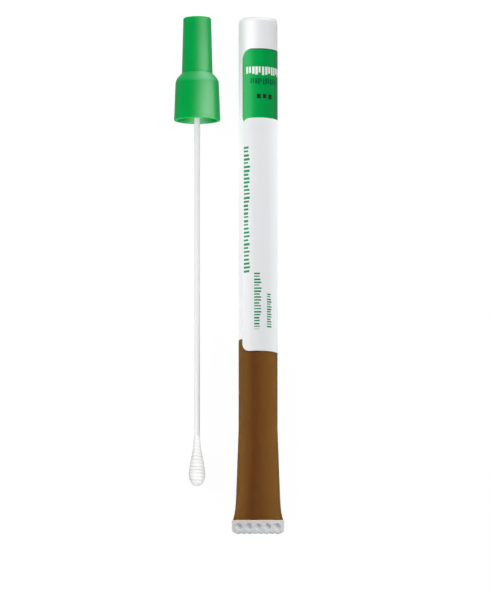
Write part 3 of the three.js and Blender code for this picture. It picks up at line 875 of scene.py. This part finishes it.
def bud_material():
    made, tree, shader = material("wound_white_fibre", base_color=(0.95, 0.95, 0.945, 1), roughness=0.9,
                                  subsurface_weight=0.3, sheen_weight=0.2, sheen_roughness=0.5)
    shader.inputs["Subsurface Radius"].default_value = (1.0, 1.0, 1.0)
    shader.inputs["Subsurface Scale"].default_value = 0.3 * MM
    strands = grain(tree, shader, STRAND_SIZE, STRAND_HEIGHT, STRAND_DRAWN_OUT)
    crown = blend(tree, between(tree, strands, 0.0, 1.0), *FIBRE_WHITES)
    # Painted shade: the grooves between turns are painted grey.
    tint = blend(tree, mark(tree, "groove"), crown, GROOVE_PAINTED_SHADE)
    tree.links.new(tint, shader.inputs["Base Color"])
    return made


bud = piece("wound_bud", bud_mesh(), SWAB_PLACE, [bud_material()], "swab_bud", crease=80)

# ---------------------------------------------------------------------------------------------
# Floor, lamps and camera. A plain white surface that stays white to the camera and keeps the soft
# shadows, lamps that each fall only on the pieces they name, and a camera above, a little to the
# side that the cap opens to. Cards that only show in gloss draw the long highlights.

FLOOR_RADIUS, FLOOR_STEPS = 4.0, 96
FLOOR_GLOW, PAPER_SHARE = 1.03, 0.07


def floor_piece():
    """White by itself to the camera, in gloss and through clear pieces, but for a share of paper
    that takes the shadows. To other rays it is plain pale paper."""
    mesh = bmesh.new()
    bmesh.ops.create_circle(mesh, cap_ends=True, segments=FLOOR_STEPS, radius=FLOOR_RADIUS)
    data = bpy.data.meshes.new("floor")
    mesh.to_mesh(data)
    mesh.free()
    made, tree, shader = material("pale_floor", base_color=(0.82, 0.82, 0.82, 1), roughness=0.9)
    light = node(tree, "LightPath")
    seen = maths(tree, "ADD", light.outputs["Is Camera Ray"], light.outputs["Is Glossy Ray"])
    seen = maths(tree, "ADD", seen, light.outputs["Is Transmission Ray"])
    seen = maths(tree, "MINIMUM", seen, 1.0)
    white = node(tree, "Emission", [(1, 1, 1, 1), FLOOR_GLOW])
    paper = node(tree, "BsdfDiffuse", [(0.97, 0.97, 0.97, 1)])
    shown = node(tree, "MixShader", [PAPER_SHARE, white.outputs[0], paper.outputs[0]])
    both = node(tree, "MixShader", [seen, shader.outputs[0], shown.outputs[0]])
    tree.links.new(both.outputs[0], tree.nodes["Material Output"].inputs["Surface"])
    data.materials.append(made)
    floor = bpy.data.objects.new("floor", data)
    bpy.context.collection.objects.link(floor)


HORIZON, CEILING = 1.0, 0.26
HORIZON_TOP, CEILING_FROM = 0.1, 0.42


def world_light():
    """A white room seen low down, under a dimmer ceiling."""
    world = bpy.data.worlds.new("studio")
    world.use_nodes = True
    bpy.context.scene.world = world
    tree = world.node_tree
    up = node(tree, "SeparateXYZ", [node(tree, "TexCoord").outputs["Generated"]]).outputs[2]
    strength = node(tree, "MapRange", [up, HORIZON_TOP, CEILING_FROM, HORIZON, CEILING])
    strength.interpolation_type = "SMOOTHSTEP"
    tree.links.new(strength.outputs[0], tree.nodes["Background"].inputs["Strength"])
    tree.nodes["Background"].inputs["Color"].default_value = (1, 1, 1, 1)


def lamp(name, only_on, angle, along, distance, size, level, at=Vector(), lights=True, shows=False):
    """A rectangular lamp that falls on the pieces named, angle from upright towards +X; level is
    what it adds to white where it falls square. It lights surfaces, or only shows in their gloss.
    Only the pieces it falls on shade each other, unless the floor is one, where each piece does."""
    direction = Vector((sin(angle), along, cos(angle))).normalized()
    data = bpy.data.lights.new(name, "AREA")
    data.shape = "RECTANGLE"
    data.size, data.size_y = size
    data.energy = level * pi * pi * distance * distance
    made = bpy.data.objects.new(name, data)
    made.location = at + direction * distance
    made.rotation_euler = direction.to_track_quat("Z", "Y").to_euler()
    made.visible_camera = False
    made.visible_diffuse, made.visible_glossy, made.visible_transmission = lights, shows, False
    bpy.context.collection.objects.link(made)
    lit = bpy.data.collections.new(name)
    for lit_piece in only_on:
        lit.objects.link(bpy.data.objects[lit_piece])
    made.light_linking.receiver_collection = lit
    if "floor" not in only_on:
        made.light_linking.blocker_collection = lit


CARD_ALONG, CARD_DISTANCE, CARD_LENGTH = 0.15, 0.6, 0.9


def card(name, only_on, angle, width, level):
    """A long white card that shows only in the gloss of the pieces named."""
    lamp(name, only_on, angle, CARD_ALONG, CARD_DISTANCE, (width, CARD_LENGTH), level,
         lights=False, shows=True)


floor_piece()
world_light()
LABELS = ["green_label", "white_label"]
MOUTH_MIDDLE = MOUTH - Vector((0, 5 * MM, 0))
STRIP_MIDDLE = MOUTH - Vector((0, 36 * MM, 0))
SEAL_MIDDLE = MOUTH + Vector((0, -TUBE_LENGTH + SEAL_LENGTH / 2, 0))
# Each lamp: its name, pieces, angle, lean along the tube, distance, size, level and what it aims at.
lamp("left_fill", LABELS + ["gel_medium", "floor"], radians(-58), 0.4, 1.0, (0.6, 0.6), 0.66)
lamp("right_fill", ["white_label", "floor"], radians(56), 0.6, 0.8, (0.35, 0.5), 0.62)
lamp("label_top", ["green_label"], radians(20), 0.2, 1.0, (0.5, 0.5), 0.33)
lamp("gel_top", ["gel_medium"], radians(24), -0.15, 1.0, (0.5, 0.5), 0.82)
lamp("wall_left", ["tube_body"], radians(-80), 0.0, 0.6, (0.3, 0.9), 0.78)
lamp("mouth_top", ["tube_body"], radians(14), 0.0, 0.06, (0.03, 0.03), 0.54, at=MOUTH_MIDDLE)
lamp("strip_left", ["tube_body"], radians(-80), 0.0, 0.036, (0.02, 0.02), 0.27, at=STRIP_MIDDLE)
lamp("seal_side", ["tube_body"], radians(50), 0.6, 0.12, (0.03, 0.03), 0.68, at=SEAL_MIDDLE)
lamp("cap_front", ["moulded_cap"], 0.0, -0.9, 0.8, (0.4, 0.3), 0.75)
lamp("cap_back", ["moulded_cap"], radians(10), 2.5, 0.8, (0.4, 0.3), 0.5)
lamp("shaft_top", ["shaft_rod"], radians(-10), -0.5, 0.8, (0.3, 0.3), 0.75)
lamp("bud_top", ["wound_bud"], radians(8), -0.15, 0.8, (0.5, 0.5), 0.88)
# Each card: its name, piece, angle, width and level.
card("green_card", ["green_label"], radians(-72), 0.3, 3.2)
card("white_card", ["white_label"], radians(-70), 0.35, 2.8)
card("cap_card_low", ["moulded_cap"], radians(54), 0.28, 15.5)
card("cap_card_high", ["moulded_cap"], radians(28), 0.42, 10.8)

ELEVATION = radians(80)
CAMERA_DISTANCE, CAMERA_REACH = 4.0, 20.0
PICTURE_HEIGHT = 190.9 * MM
SENSOR = 36.0
AIM_LEFT_OF_TUBE, AIM_BELOW_MIDDLE = 4.15 * MM, 7.7 * MM
aim = MOUTH - Vector((AIM_LEFT_OF_TUBE, TUBE_LENGTH / 2 + AIM_BELOW_MIDDLE, 0))
back = Vector((0, -cos(ELEVATION), sin(ELEVATION)))
camera_data = bpy.data.cameras.new("camera")
camera_data.sensor_width = SENSOR
camera_data.lens = SENSOR * CAMERA_DISTANCE / PICTURE_HEIGHT
camera_data.clip_end = CAMERA_REACH
camera = bpy.data.objects.new("camera", camera_data)
camera.location = aim + back * CAMERA_DISTANCE
camera.rotation_euler = back.to_track_quat("Z", "Y").to_euler()
bpy.context.collection.objects.link(camera)
bpy.context.scene.camera = camera
bpy.context.scene.view_settings.view_transform = "Standard"
